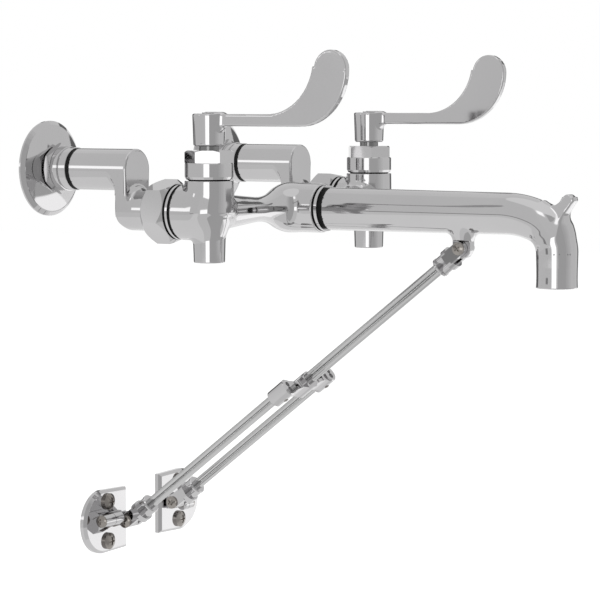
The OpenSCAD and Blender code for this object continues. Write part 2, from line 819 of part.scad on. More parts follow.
lug_pin(LEFT);  // lug_pin_left
lug_pin(RIGHT);  // lug_pin_right
wall_plate(LEFT);  // wall_plate_left
wall_plate(RIGHT);  // wall_plate_right
plate_screws(LEFT);  // plate_screws_left
plate_screws(RIGHT);  // plate_screws_right
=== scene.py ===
"""Looks for the wall-mounted service sink faucet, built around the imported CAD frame."""
import json
import math

import bpy
import numpy as np
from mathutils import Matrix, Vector


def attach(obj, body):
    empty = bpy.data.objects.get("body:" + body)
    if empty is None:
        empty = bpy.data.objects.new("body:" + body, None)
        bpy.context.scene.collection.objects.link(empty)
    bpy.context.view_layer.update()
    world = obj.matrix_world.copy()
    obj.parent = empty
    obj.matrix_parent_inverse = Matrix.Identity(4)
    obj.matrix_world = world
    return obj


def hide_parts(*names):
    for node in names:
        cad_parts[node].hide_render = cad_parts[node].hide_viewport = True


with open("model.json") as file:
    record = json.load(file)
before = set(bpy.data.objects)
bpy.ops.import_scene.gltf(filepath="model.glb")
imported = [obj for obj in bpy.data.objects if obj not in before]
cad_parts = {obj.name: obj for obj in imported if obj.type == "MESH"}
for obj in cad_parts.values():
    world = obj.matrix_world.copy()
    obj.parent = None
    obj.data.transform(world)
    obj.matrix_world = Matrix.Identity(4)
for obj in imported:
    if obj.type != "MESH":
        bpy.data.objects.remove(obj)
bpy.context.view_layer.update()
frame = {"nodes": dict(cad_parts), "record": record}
NODES = frame["nodes"]
MM = 0.001
SIDES = ((-1, "left"), (1, "right"))

# ------------------------------------------------------------------ camera
# Place in metres, angles in degrees, lens and sensor in mm
CAMERA_PLACE = Vector((-1.42858, -1.06084, 0.04522))
CAMERA_HEADING = 32.8      # from +X towards +Y
CAMERA_PITCH = 4.61        # downward
CAMERA_LENS = 147.1
CAMERA_SENSOR = 36.0
VIEW_DEPTH = 50.0


def add_camera():
    data = bpy.data.cameras.new("camera")
    data.lens = CAMERA_LENS
    data.sensor_width = CAMERA_SENSOR
    data.clip_end = VIEW_DEPTH
    camera = bpy.data.objects.new("camera", data)
    camera.location = CAMERA_PLACE
    camera.rotation_euler = (math.radians(90 - CAMERA_PITCH), 0, math.radians(CAMERA_HEADING - 90))
    bpy.context.scene.collection.objects.link(camera)
    bpy.context.scene.camera = camera


add_camera()

# ------------------------------------------------------------------ materials
TINT_STOPS = (0.3, 0.7)    # where the noise starts and ends the change of tint
TINT_SCALE = 18.0
GRAIN_DETAIL = 4.0
WAVE_DETAIL = 1.0
WAVE_STRENGTH = 0.35
SKIN_STRENGTH = 0.4


def grey(level):
    return (level, level, level)


def new_material(name):
    mat = bpy.data.materials.new(name)
    mat.use_nodes = True
    tree = mat.node_tree
    shader = next(n for n in tree.nodes if n.type == "BSDF_PRINCIPLED")
    return mat, tree, shader


def noise(tree, scale, detail=3.0):
    """Noise from 0 to 1, fixed to the piece."""
    coords = tree.nodes.new("ShaderNodeTexCoord")
    node = tree.nodes.new("ShaderNodeTexNoise")
    node.inputs["Scale"].default_value = scale
    node.inputs["Detail"].default_value = detail
    tree.links.new(coords.outputs["Object"], node.inputs["Vector"])
    return node.outputs["Fac"]


def tint(tree, source, low, high):
    """Colour between low and high, by a value from 0 to 1."""
    node = tree.nodes.new("ShaderNodeValToRGB")
    for element, stop, colour in zip(node.color_ramp.elements, TINT_STOPS, (low, high)):
        element.position = stop
        element.color = (*colour, 1)
    tree.links.new(source, node.inputs["Fac"])
    return node.outputs["Color"]


def spread(tree, source, low, high):
    """Value between low and high, by a value from 0 to 1."""
    node = tree.nodes.new("ShaderNodeMapRange")
    node.inputs["To Min"].default_value = low
    node.inputs["To Max"].default_value = high
    tree.links.new(source, node.inputs["Value"])
    return node.outputs["Result"]


def bump(tree, source, shader, strength, distance):
    node = tree.nodes.new("ShaderNodeBump")
    node.inputs["Strength"].default_value = strength
    node.inputs["Distance"].default_value = distance
    tree.links.new(source, node.inputs["Height"])
    tree.links.new(node.outputs["Normal"], shader.inputs["Normal"])


def metal(name, low, high, rough, wave_scale, wave, grain_scale=400.0):
    """Plated metal: faint tint and gloss changes, and the slow waviness of a polished casting."""
    mat, tree, shader = new_material(name)
    shader.inputs["Metallic"].default_value = 1.0
    tree.links.new(tint(tree, noise(tree, TINT_SCALE), low, high), shader.inputs["Base Color"])
    grain = noise(tree, grain_scale, GRAIN_DETAIL)
    tree.links.new(spread(tree, grain, *rough), shader.inputs["Roughness"])
    bump(tree, noise(tree, wave_scale, WAVE_DETAIL), shader, WAVE_STRENGTH, wave)
    return mat


def plain(name, low, high, rough, scale, lift, shine):
    """Rubber or plastic: one noise for its tint, gloss and skin."""
    mat, tree, shader = new_material(name)
    shader.inputs["Specular IOR Level"].default_value = shine
    skin = noise(tree, scale)
    tree.links.new(tint(tree, skin, low, high), shader.inputs["Base Color"])
    tree.links.new(spread(tree, skin, *rough), shader.inputs["Roughness"])
    bump(tree, skin, shader, SKIN_STRENGTH, lift)
    return mat


# Name, darkest and lightest tint, roughness from and to, scale and height of the waves, grain
chrome = metal("polished_chrome", (0.535, 0.53, 0.535), (0.565, 0.56, 0.565), (0.045, 0.07),
               14.0, 0.00010, 60.0)
rod_chrome = metal("rod_chrome", grey(0.53), grey(0.56), (0.10, 0.13), 12.0, 0.00002, 60.0)
# Stem chrome darkened to paint in the shade of the gap between bonnet and handle
stem_painted_shade = metal("stem_painted_shade", grey(0.20), grey(0.26), (0.10, 0.16), 30.0, 0.00002)
dull_steel = metal("screw_steel", (0.27, 0.25, 0.23), (0.36, 0.34, 0.32), (0.14, 0.20), 90.0, 0.00003)
# Name, darkest and lightest tint, roughness from and to, scale and height of the skin, shine
rubber = plain("seal_rubber", grey(0.004), grey(0.008), (0.50, 0.70), 500.0, 0.00003, 0.12)
plastic = plain("cartridge_plastic", (0.70, 0.70, 0.68), (0.76, 0.76, 0.74), (0.4, 0.5),
                300.0, 0.00002, 0.5)

LOOKS = {"chrome": chrome, "screw_steel": dull_steel, "seal_rubber": rubber, "cartridge_plastic": plastic}
OWN_LOOKS = {
    "upper_rods": rod_chrome, "leg_rods_left": rod_chrome, "leg_rods_right": rod_chrome,
    # The stems take the darkened chrome: painted shade of the gap between bonnet and handle
    "stem_left": stem_painted_shade, "stem_right": stem_painted_shade,
}


def dress(obj, mat):
    obj.data.materials.clear()
    obj.data.materials.append(mat)


for part in frame["record"]["subparts"]:
    name = part["node"]
    dress(NODES[name], OWN_LOOKS.get(name, LOOKS[part["material_slot"]]))

# ------------------------------------------------------------------ blended castings
# A casting is a signed distance, smaller inside. Its mesh is taken from a grid, and each point
# is then moved onto the exact surface, so that chrome reflects cleanly on it. Lengths are in mm.
GRID_STEP = 0.8
GRADIENT_STEP = 0.02
FIT_ROUNDS = 6
LEAST_SLOPE = 0.05
CURVE_STEPS = 300
FAR = 1e3
EDGE = 0.5                 # radius of a plain edge
SHARP = 0.01               # radius of an edge that is left sharp
CELLS_ROUND_EDGE = ((-1, -1), (0, -1), (0, 0), (-1, 0))
SIDEWAYS, OUTWARD, UP, DOWN = (1, 0, 0), (0, -1, 0), (0, 0, 1), (0, 0, -1)


def along(p, start, direction):
    """Distance along an axis and distance from it."""
    d = np.asarray(direction, float)
    rel = p - np.asarray(start, float)
    t = rel @ d
    return t, np.linalg.norm(rel - t[:, None] * d, axis=1)


def box_2d(a, b, edge):
    """Two plane distances as one solid, with its edge rounded."""
    qa, qb = a + edge, b + edge
    return np.hypot(np.maximum(qa, 0), np.maximum(qb, 0)) + np.minimum(np.maximum(qa, qb), 0) - edge


def rod(p, start, direction, length, r_start, r_end, edge=EDGE):
    t, rho = along(p, start, direction)
    share = np.clip(t / length, 0, 1)
    side = (rho - (r_start + (r_end - r_start) * share)) * math.cos(math.atan2(r_end - r_start, length))
    return box_2d(side, np.maximum(-t, t - length), edge)


def ball(p, centre, r):
    return np.linalg.norm(p - np.asarray(centre, float), axis=1) - r


def disc(a, b, centre, r):
    """Cylinder across the plane of a and b."""
    return np.hypot(a - centre[0], b - centre[1]) - r


def join(a, b, k=0.0):
    """Union with a fillet of about k."""
    if k <= 0:
        return np.minimum(a, b)
    h = np.clip(0.5 + 0.5 * (b - a) / k, 0, 1)
    return b * (1 - h) + a * h - k * h * (1 - h)


def cut(a, b, k):
    """What is left of a outside b, with an edge of about k."""
    return -join(-a, b, k)


def all_of(*distances):
    """The part that several solids share."""
    return np.maximum.reduce(distances)


def smooth_curve(knots, passes=3, window=13):
    """A rounded curve through a few pairs, as a function: running means over a fine table."""
    at = np.linspace(knots[0][0], knots[-1][0], CURVE_STEPS + 1)
    table = np.interp(at, [k[0] for k in knots], [k[1] for k in knots])
    mean = np.ones(window) / window
    for _ in range(passes):
        padded = np.pad(table, window // 2, mode="reflect", reflect_type="odd")
        table = np.convolve(padded, mean, "valid")
    return lambda t: np.interp(t, at, table)


def gradient(sdf, p):
    out = np.empty_like(p)
    for axis in range(3):
        step = np.zeros(3)
        step[axis] = GRADIENT_STEP
        out[:, axis] = (sdf(p + step) - sdf(p - step)) / (2 * GRADIENT_STEP)
    return out


def inside_grid(sdf, lines):
    """True at each grid point inside the surface, worked out in slices."""
    grid = np.stack(np.meshgrid(*lines, indexing="ij"), -1)
    return np.stack([(sdf(layer.reshape(-1, 3)) < 0).reshape(layer.shape[:2]) for layer in grid])


def crossed_cells(inside):
    """Place in the grid of each cell that the surface passes through."""
    count = inside.shape
    corners = sum(
        inside[i : count[0] - 1 + i, j : count[1] - 1 + j, k : count[2] - 1 + k].astype(np.int8)
        for i in (0, 1) for j in (0, 1) for k in (0, 1)
    )
    return np.argwhere((corners > 0) & (corners < 8))


def onto_surface(sdf, points):
    """Points moved along the slope until they lie on the surface."""
    for _ in range(FIT_ROUNDS):
        slope = gradient(sdf, points)
        size = np.maximum((slope**2).sum(1), LEAST_SLOPE)
        move = -slope * (sdf(points) / size)[:, None]
        points = points + np.clip(move, -GRID_STEP, GRID_STEP)
    return points


def quads_along(inside, index, axis):
    """Quads round the grid edges along one axis that the surface crosses."""
    count = inside.shape
    b, c = (axis + 1) % 3, (axis + 2) % 3
    first = [slice(None)] * 3
    first[axis] = slice(0, count[axis] - 1)
    first[b], first[c] = slice(1, count[b] - 1), slice(1, count[c] - 1)
    second = list(first)
    second[axis] = slice(1, count[axis])
    one, two = inside[tuple(first)], inside[tuple(second)]
    quads = []
    for mask, turn in ((one & ~two, 1), (~one & two, -1)):
        at = np.argwhere(mask)
        at[:, b] += 1
        at[:, c] += 1
        ring = []
        for step_b, step_c in CELLS_ROUND_EDGE:
            cell = at.copy()
            cell[:, b] += step_b
            cell[:, c] += step_c
            ring.append(index[tuple(cell.T)])
        quads.append(np.stack(ring[::turn], 1))
    return np.concatenate(quads)


def make_object(name, points, faces):
    mesh = bpy.data.meshes.new(name)
    mesh.from_pydata(points, [], faces)
    obj = bpy.data.objects.new(name, mesh)
    bpy.context.scene.collection.objects.link(obj)
    return obj


def casting(name, sdf, low, high):
    """Mesh object of the surface where sdf is 0, inside the box from low to high, all in mm."""
    low, high = np.asarray(low, float), np.asarray(high, float)
    count = np.ceil((high - low) / GRID_STEP).astype(int) + 1
    inside = inside_grid(sdf, [start + GRID_STEP * np.arange(n) for start, n in zip(low, count)])
    cells = crossed_cells(inside)
    index = -np.ones(tuple(count - 1), np.int64)
    index[tuple(cells.T)] = np.arange(len(cells))
    points = onto_surface(sdf, low + GRID_STEP * (cells + 0.5))
    faces = np.concatenate([quads_along(inside, index, axis) for axis in range(3)])
    normals = gradient(sdf, points)
    normals /= np.maximum(np.linalg.norm(normals, axis=1), 1e-6)[:, None]
    obj = make_object(name, (points * MM).tolist(), faces.tolist())
    obj.data.polygons.foreach_set("use_smooth", [True] * len(obj.data.polygons))
    obj.data.normals_split_custom_set_from_vertices(normals.tolist())
    return obj


# Main sizes, in mm, the same as in the CAD model. "Out" is the distance from the wall.
HALF_CENTRES = 101.6
VALVE_OUT = 134.5
GLOBE_OUT = 131.1
BRIDGE_Z = -27.4
OUTLET_OUT = 339.1
LIP_Z = -75.3

# ------------------------------------------------------------------ valve body
GLOBE_R = 18.7
GLOBE_FROM = 115.0
NECK_TALL, NECK_R, NECK_TOP_R = 21.2, 16.6, 16.3
STUB_LONG, STUB_R, STUB_END_R = 33.0, 11.4, 10.4
BRIDGE_OUT = GLOBE_OUT + 1.5
BRIDGE_HALF = 92.0
BRIDGE_SLOPE = 0.95        # keeps the distance true where the bridge swells
HUB_R, HUB_TO = 17.0, 159.7
NECK_FILLET, STUB_FILLET, HUB_FILLET, GLOBE_FILLET = 3.0, 4.0, 6.0, 5.0
STUB_EDGE, HUB_EDGE = 0.7, 0.8
# Radius at each distance from the middle
bridge_r = smooth_curve([(0, 14.4), (12, 14.4), (16, 13.6), (20, 12.2), (25, 10.5), (30, 9.35), (35, 8.6),
                         (41, 8.3), (47, 8.6), (55, 9.3), (65, 10.15), (75, 11.1), (BRIDGE_HALF, 12.5)])


def globe(q):
    """Round housing with its inlet, the neck under the bonnet and the stub below."""
    start = (HALF_CENTRES, -GLOBE_FROM, BRIDGE_Z)
    inlet = rod(q, start, OUTWARD, GLOBE_OUT - GLOBE_FROM, GLOBE_R, GLOBE_R)
    shape = join(ball(q, (HALF_CENTRES, -GLOBE_OUT, BRIDGE_Z), GLOBE_R), inlet)
    stem = (HALF_CENTRES, -VALVE_OUT, BRIDGE_Z)
    shape = join(shape, rod(q, stem, UP, NECK_TALL, NECK_R, NECK_TOP_R), NECK_FILLET)
    return join(shape, rod(q, stem, DOWN, STUB_LONG, STUB_R, STUB_END_R, STUB_EDGE), STUB_FILLET)


def valve_casting(p):
    """Two globes, the waisted bridge between them and the hub of the spout."""
    q = np.stack([np.abs(p[:, 0]), p[:, 1], p[:, 2]], 1)
    middle = (0, -BRIDGE_OUT, BRIDGE_Z)
    t, rho = along(q, middle, SIDEWAYS)
    bridge = box_2d((rho - bridge_r(t)) * BRIDGE_SLOPE, t - BRIDGE_HALF, EDGE)
    tube = rod(q, middle, OUTWARD, HUB_TO - BRIDGE_OUT, HUB_R, HUB_R, HUB_EDGE)
    hub = join(tube, ball(q, middle, HUB_R))
    return join(join(hub, bridge, HUB_FILLET), globe(q), GLOBE_FILLET)


# ------------------------------------------------------------------ spout
# A straight run, a long bend that tightens, and a short drop
SPOUT_Z = -27.7
SPOUT_FROM = 166.7
SPOUT_R = 14.7             # at the hub
TUBE_R = 13.85             # from the bend on
LONG_R = 60.0
LONG_ANGLE = math.radians(22.7)
SHORT_R = 22.0
ELBOW_OUT = OUTLET_OUT - SHORT_R
BEND_OUT = ELBOW_OUT - (LONG_R - SHORT_R) * math.sin(LONG_ANGLE)
LONG_Z = SPOUT_Z - LONG_R
ELBOW_Z = LONG_Z + (LONG_R - SHORT_R) * math.cos(LONG_ANGLE)
RUN_LAP = 1.0              # the run reaches this far into the bend
BEND_LAP = 0.03            # the bend starts this angle early, in radians
OUTLET_R = 11.0
OUTLET_DEEP = 25.0
OUTLET_CUT = 40.0          # length of the bore's cutter, from its depth out through the lip
OUTLET_EDGE = 0.6
HOOK_FILLET, BOSS_FILLET, TONGUE_FILLET = 2.6, 4.0, 0.6
# Radius at each height
leg_r = smooth_curve([(LIP_Z, 13.72), (-72, 13.58), (-68, 13.52), (-62, 13.6), (-56, 13.77),
                      (-53.3, 13.84), (ELBOW_Z, TUBE_R)])


def bend(x, out, z, centre_out, centre_z, radius, low, high):
    """Tube round a centre, between two angles from straight up."""
    du, dz = out - centre_out, z - centre_z
    angle = np.arctan2(du, dz)
    d = np.hypot(np.hypot(du, dz) - radius, x) - TUBE_R
    return np.where((angle >= low) & (angle <= high), d, FAR)


def spout_run(p):
    x, out, z = p[:, 0], -p[:, 1], p[:, 2]
    run_long = BEND_OUT - SPOUT_FROM + RUN_LAP
    shape = rod(p, (0, -SPOUT_FROM, SPOUT_Z), OUTWARD, run_long, SPOUT_R, TUBE_R, SHARP)
    shape = join(shape, bend(x, out, z, BEND_OUT, LONG_Z, LONG_R, -BEND_LAP, LONG_ANGLE))
    shape = join(shape, bend(x, out, z, ELBOW_OUT, ELBOW_Z, SHORT_R, LONG_ANGLE, math.pi / 2))
    from_axis = np.hypot(x, out - OUTLET_OUT)
    return join(shape, box_2d(from_axis - leg_r(z), np.maximum(LIP_Z - z, z - ELBOW_Z), SHARP))


# The pail hook, drawn from the side: how far past the outlet's axis, and how high above the lip
SADDLE, SADDLE_R = (-3.0, 62.2), 8.7
HOLLOW, HOLLOW_R = (15.0, 46.9), 6.85
HOOK_KNOB, HOOK_KNOB_R = (9.0, 58.2), 3.0
HOOK_TIP, HOOK_TIP_R = (12.0, 57.3), 1.5
HOOK_FOOT, HOOK_TOP = 28.0, 59.4
HOOK_BACK_AT, HOOK_BACK = (34.0, 46.0), (-2.0, -9.0)
HOOK_ROUND = 22.0          # twice the radius of the hook's front, seen from above
HOOK_EDGE = 1.2
SADDLE_EDGE, HOLLOW_EDGE, HEAD_FILLET = 0.6, 1.0, 1.6
# Half width and front of the hook at each height above the lip
hook_half_w = smooth_curve([(24, 12.5), (34, 12.3), (40, 10.4), (43, 8.8), (46, 7.0), (49, 5.5),
                            (52, 4.6), (56, 4.1), (64, 3.9)])
hook_front = smooth_curve([(24, 10.0), (30, 10.6), (35, 11.6), (38, 11.2), (42, 10.2), (51, 10.0),
                           (54.2, 11.6), (57, 13.3), (64, 13.4)], 2, 7)


def pail_hook(p):
    """A tongue that carries on the front of the elbow, rounded across its front."""
    v = p[:, 2] - LIP_Z
    u = -p[:, 1] - OUTLET_OUT + p[:, 0] ** 2 / HOOK_ROUND
    back = np.interp(v, HOOK_BACK_AT, HOOK_BACK)
    fin = all_of(u - hook_front(v), v - HOOK_TOP, back - u, HOOK_FOOT - v)
    fin = cut(fin, disc(u, v, SADDLE, SADDLE_R), SADDLE_EDGE)
    fin = cut(fin, disc(u, v, HOLLOW, HOLLOW_R), HOLLOW_EDGE)
    head = join(disc(u, v, HOOK_KNOB, HOOK_KNOB_R), disc(u, v, HOOK_TIP, HOOK_TIP_R), HEAD_FILLET)
    return box_2d(join(fin, head, HOOK_EDGE), np.abs(p[:, 0]) - hook_half_w(v), HOOK_EDGE)


# The boss under the run, and its tongue that the brace's fork holds
BRACE_OUT, BRACE_Z = 269.6, -51.6
BOSS_TOP_Z, BOSS_TALL = -36.0, 10.5
BOSS_R, BOSS_END_R, BOSS_EDGE = 10.6, 7.2, 0.8
TONGUE_R = 6.9
TONGUE_TOP_Z = -40.0
TONGUE_HALF, TONGUE_EDGE = 2.8, 0.4


def brace_boss(p):
    return rod(p, (0, -BRACE_OUT, BOSS_TOP_Z), DOWN, BOSS_TALL, BOSS_R, BOSS_END_R, BOSS_EDGE)


def brace_tongue(p):
    out, z = -p[:, 1], p[:, 2]
    stem = np.maximum(np.abs(out - BRACE_OUT) - TONGUE_R, BRACE_Z - z)
    outline = join(disc(out, z, (BRACE_OUT, BRACE_Z), TONGUE_R), stem)
    return box_2d(np.maximum(outline, z - TONGUE_TOP_Z), np.abs(p[:, 0]) - TONGUE_HALF, TONGUE_EDGE)


def spout_casting(p):
    """Spout with its pail hook and the brace's boss and tongue, bored at the outlet."""
    body = join(spout_run(p), pail_hook(p), HOOK_FILLET)
    body = join(body, brace_boss(p), BOSS_FILLET)
    body = join(body, brace_tongue(p), TONGUE_FILLET)
    bore_from = (0, -OUTLET_OUT, LIP_Z + OUTLET_DEEP)
    return cut(body, rod(p, bore_from, DOWN, OUTLET_CUT, OUTLET_R, OUTLET_R), OUTLET_EDGE)


# ------------------------------------------------------------------ wrist blades
# The blade's outline from the side: how far from the stem's axis, and how high
BLADE_TURN = math.radians(2.0)
STRIP_LONG, STRIP_Z, STRIP_HALF = 73.0, 33.6, 4.0
OUTER, OUTER_R = (73.0, 66.2), 36.6    # the sweep lies inside this arc
INNER, INNER_R = (48.0, 73.6), 36.0    # and outside this one
TIP, TIP_R = (97.2, 66.1), 12.4
SWEEP_TOP_AT, SWEEP_TOP = (INNER[0], TIP[0], 130.0), (INNER[1], TIP[1], 64.9)
BLADE_HALF = 2.5
BLADE_EDGE = 1.1
BLADE_HUB_Z, BLADE_HUB_TALL = 16.5, 21.4
BLADE_HUB_R, BLADE_HUB_TOP_R, BLADE_HUB_EDGE = 10.4, 11.1, 1.2
BLADE_FILLET = 5.0


def blade_outline(u, z):
    """A straight strip that sweeps up into a round tip."""
    strip = all_of(-u, u - STRIP_LONG, np.abs(z - STRIP_Z) - STRIP_HALF)
    below_top = z - np.interp(u, SWEEP_TOP_AT, SWEEP_TOP)
    sweep = all_of(disc(u, z, OUTER, OUTER_R), -disc(u, z, INNER, INNER_R), INNER[0] - u, below_top)
    return join(join(strip, sweep), disc(u, z, TIP, TIP_R))


def blade_casting(side):
    """Wrist blade: its hub round the stem and the blade, turned a little outwards."""
    forward = np.array([side * math.sin(BLADE_TURN), -math.cos(BLADE_TURN)])
    across = np.array([forward[1], -forward[0]])
    axis = np.array([side * HALF_CENTRES, -VALVE_OUT])

    def sdf(p):
        rel = p[:, :2] - axis
        u, v, z = rel @ forward, rel @ across, p[:, 2]
        blade = box_2d(blade_outline(u, z), np.abs(v) - BLADE_HALF, BLADE_EDGE)
        hub = rod(np.stack([u, v, z], 1), (0, 0, BLADE_HUB_Z), UP,
                  BLADE_HUB_TALL, BLADE_HUB_R, BLADE_HUB_TOP_R, BLADE_HUB_EDGE)
        return join(hub, blade, BLADE_FILLET)

    return sdf


# ------------------------------------------------------------------ crank arms
ARM_R = 14.1
LOWER_R = 13.3
ARM_FROM = 27.9
ARM_REACH = 75.8
LINK_THICK = 9.0
LINK_CORNER = 9.0
LINK_FOOT = BRIDGE_Z - LOWER_R
NUT_FROM = 91.5
LOWER_FROM = ARM_REACH - 2.0
LOWER_TO = NUT_FROM - 1.5  # the lower barrel ends a little short of the nut
TAIL_R, TAIL_LONG = 11.5, 10.0       # inside the nut
CROOK_FILLET, LOWER_FILLET = 7.0, 5.0
CORNER_EDGE, FACE_EDGE, LOWER_EDGE = 1.0, 1.6, 0.1


def arm_casting(side):
    """Crank arm: barrel, link and lower barrel inside one tapered outline, and the tail in the nut."""
    x0 = side * HALF_CENTRES

    def sdf(p):
        x, out, z = p[:, 0] - x0, -p[:, 1], p[:, 2]
        share = np.clip(z / BRIDGE_Z, 0, 1)
        outline = np.hypot(x, z - BRIDGE_Z * share) - (ARM_R + (LOWER_R - ARM_R) * share)
        rear = ARM_REACH - LINK_THICK
        back = join(rear - out, np.hypot(x, z) - ARM_R, CROOK_FILLET)
        inwards = np.maximum(rear + LINK_CORNER - out, 0)
        downwards = LINK_FOOT + LINK_CORNER - z
        corner = np.where(downwards > 0, np.hypot(inwards, downwards) - LINK_CORNER, -FAR)
        link = box_2d(cut(np.maximum(outline, back), -corner, CORNER_EDGE), out - ARM_REACH, FACE_EDGE)
        start = (x0, -LOWER_FROM, BRIDGE_Z)
        lower = rod(p, start, OUTWARD, LOWER_TO - LOWER_FROM, LOWER_R, LOWER_R, LOWER_EDGE)
        whole = all_of(join(link, lower, LOWER_FILLET), outline, ARM_FROM - out)
        return join(whole, rod(p, (x0, -NUT_FROM, BRIDGE_Z), OUTWARD, TAIL_LONG, TAIL_R, TAIL_R))

    return sdf


# ------------------------------------------------------------------ castings in place
# The boxes that the castings are looked for in, in mm
VALVE_BOX = (-124, -163, -64), (124, -104, -3)
SPOUT_BOX = (-18, -358, -79), (18, -163, -10)
BLADE_INNER, BLADE_OUTER = 14, 18    # to either side of the stem's axis
BLADE_Y, BLADE_Z = (-249, -121), (14, 84)
ARM_BOX_HALF = 16
ARM_Y, ARM_Z = (-104, -26), (-43, 16)


def fit_out(obj, body, node):
    dress(obj, chrome)
    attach(obj, body)
    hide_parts(node)


fit_out(casting("valve_casting", valve_casting, *VALVE_BOX), "faucet", "valve_body")
fit_out(casting("spout_casting", spout_casting, *SPOUT_BOX), "faucet", "spout")
for side, word in SIDES:
    x = side * HALF_CENTRES
    left = x - (BLADE_OUTER if side < 0 else BLADE_INNER)
    right = x + (BLADE_OUTER if side > 0 else BLADE_INNER)
    low, high = zip((left, right), BLADE_Y, BLADE_Z)
    blade = casting("wrist_blade_" + word, blade_casting(side), low, high)
    fit_out(blade, "handle_" + word, "handle_" + word)
    low, high = zip((x - ARM_BOX_HALF, x + ARM_BOX_HALF), ARM_Y, ARM_Z)
    arm = casting("crank_casting_" + word, arm_casting(side), low, high)
    fit_out(arm, "faucet", "crank_arm_" + word)

# ------------------------------------------------------------------ floor and backdrop
FLOOR_Z = -0.46
FLOOR_HALF = 6.0
FLOOR_GREYS = (0.60, 0.62)
FLOOR_ROUGH = 0.9
PAPER_SCALE = 3.0
FLOOR_GLOW = 0.55          # with the lamps' light it comes to white, for rays that show the floor
ROOM_LEVEL = 0.75          # the world's light on the object


def sheet(name, corners, mat):
    obj = make_object(name, corners, [tuple(range(len(corners)))])
    obj.data.materials.append(mat)
    return obj


def surface(tree):
    return next(n for n in tree.nodes if n.type == "OUTPUT_MATERIAL").inputs["Surface"]


def seen_directly(tree):
    """1 for a ray that shows the background: from the camera, or by way of metal or glass."""
    path = tree.nodes.new("ShaderNodeLightPath")
    total = path.outputs["Is Camera Ray"]
    for name in ("Is Glossy Ray", "Is Transmission Ray"):
        node = tree.nodes.new("ShaderNodeMath")
        node.operation = "ADD"
        node.use_clamp = True
        tree.links.new(total, node.inputs[0])
        tree.links.new(path.outputs[name], node.inputs[1])
        total = node.outputs["Value"]
    return total


def between(tree, share, first, second):
    """Shader that is the first one where share is 0 and the second where it is 1."""
    node = tree.nodes.new("ShaderNodeMixShader")
    tree.links.new(share, node.inputs["Fac"])
    tree.links.new(first, node.inputs[1])
    tree.links.new(second, node.inputs[2])
    return node.outputs["Shader"]


def floor_paper():
    mat, tree, shader = new_material("floor_paper")
    shader.inputs["Roughness"].default_value = FLOOR_ROUGH
    paper = tint(tree, noise(tree, PAPER_SCALE), *map(grey, FLOOR_GREYS))
    tree.links.new(paper, shader.inputs["Base Color"])
    glow = tree.nodes.new("ShaderNodeEmission")
    glow.inputs["Strength"].default_value = FLOOR_GLOW
    both = tree.nodes.new("ShaderNodeAddShader")
    tree.links.new(shader.outputs["BSDF"], both.inputs[0])
    tree.links.new(glow.outputs["Emission"], both.inputs[1])
    shown = between(tree, seen_directly(tree), shader.outputs["BSDF"], both.outputs["Shader"])
    tree.links.new(shown, surface(tree))
    return mat


def background(tree, level):
    node = tree.nodes.new("ShaderNodeBackground")
    node.inputs["Color"].default_value = (*grey(level), 1)
    return node.outputs["Background"]


def add_world():
    world = bpy.data.worlds.new("studio")
    bpy.context.scene.world = world
    world.use_nodes = True
    tree = world.node_tree
    tree.nodes.clear()
    shown = between(tree, seen_directly(tree), background(tree, ROOM_LEVEL), background(tree, 1.0))
    tree.links.new(shown, tree.nodes.new("ShaderNodeOutputWorld").inputs["Surface"])


def rectangle(x_from, x_to, y_from, y_to):
    return [(x_from, y_from), (x_to, y_from), (x_to, y_to), (x_from, y_to)]


def on_floor(corners, lift=0.0):
    return [(x, y, FLOOR_Z + lift) for x, y in corners]


sheet("floor", on_floor(rectangle(-FLOOR_HALF, FLOOR_HALF, -FLOOR_HALF, FLOOR_HALF)), floor_paper())
add_world()

# ------------------------------------------------------------------ flats, cards and lamps
# The flats and cards only show in reflections. The flats stand round AIM. Places are in metres.
AIM = Vector((0, -0.18, -0.06))
FLAT_STEPS = 12
CARD_LIFT = 0.01
SHADE_LIFT = 0.015


def glow_only(name, level):
    mat, tree, shader = new_material(name)
    tree.nodes.remove(shader)
    glow = tree.nodes.new("ShaderNodeEmission")
    glow.inputs["Color"].default_value = (1, 1, 1, 1)
    glow.inputs["Strength"].default_value = level
    tree.links.new(glow.outputs["Emission"], surface(tree))
    return mat, tree, glow


def reflected_only(obj):
    obj.visible_camera = False
    obj.visible_diffuse = False
    obj.visible_shadow = False


def flat(name, headings, heights, away, level):
    """Upright arc of a cylinder round the object."""
    points = []
    for turn in np.radians(np.linspace(*headings, FLAT_STEPS + 1)):
        for height in np.radians(heights):
            points.append(AIM + away * Vector((math.cos(turn), math.sin(turn), math.tan(height))))
    faces = [(2 * i, 2 * i + 2, 2 * i + 3, 2 * i + 1) for i in range(FLAT_STEPS)]
    obj = make_object(name, points, faces)
    obj.data.materials.append(glow_only(name, level)[0])
    reflected_only(obj)


def floor_card(name, corners, level, lift=CARD_LIFT):
    """Grey card on the floor."""
    reflected_only(sheet(name, on_floor(corners, lift), glow_only(name, level)[0]))


def ease(tree, coordinate, start, end, first, last):
    """Goes softly from first to last while the coordinate goes from start to end."""
    node = tree.nodes.new("ShaderNodeMapRange")
    node.interpolation_type = "SMOOTHSTEP"
    sockets = ("From Min", "From Max", "To Min", "To Max")
    for socket, value in zip(sockets, (start, end, first, last)):
        node.inputs[socket].default_value = value
    tree.links.new(coordinate, node.inputs["Value"])
    return node.outputs["Result"]


def product(tree, first, second):
    node = tree.nodes.new("ShaderNodeMath")
    node.operation = "MULTIPLY"
    tree.links.new(first, node.inputs[0])
    tree.links.new(second, node.inputs[1])
    return node.outputs["Value"]


def fade(tree, coordinate, low_soft, high_soft):
    """0 at both ends of a card, 1 between, with soft ends."""
    rise = ease(tree, coordinate, 0.0, low_soft, 0.0, 1.0)
    fall = ease(tree, coordinate, 1.0 - high_soft, 1.0, 1.0, 0.0)
    return product(tree, rise, fall)


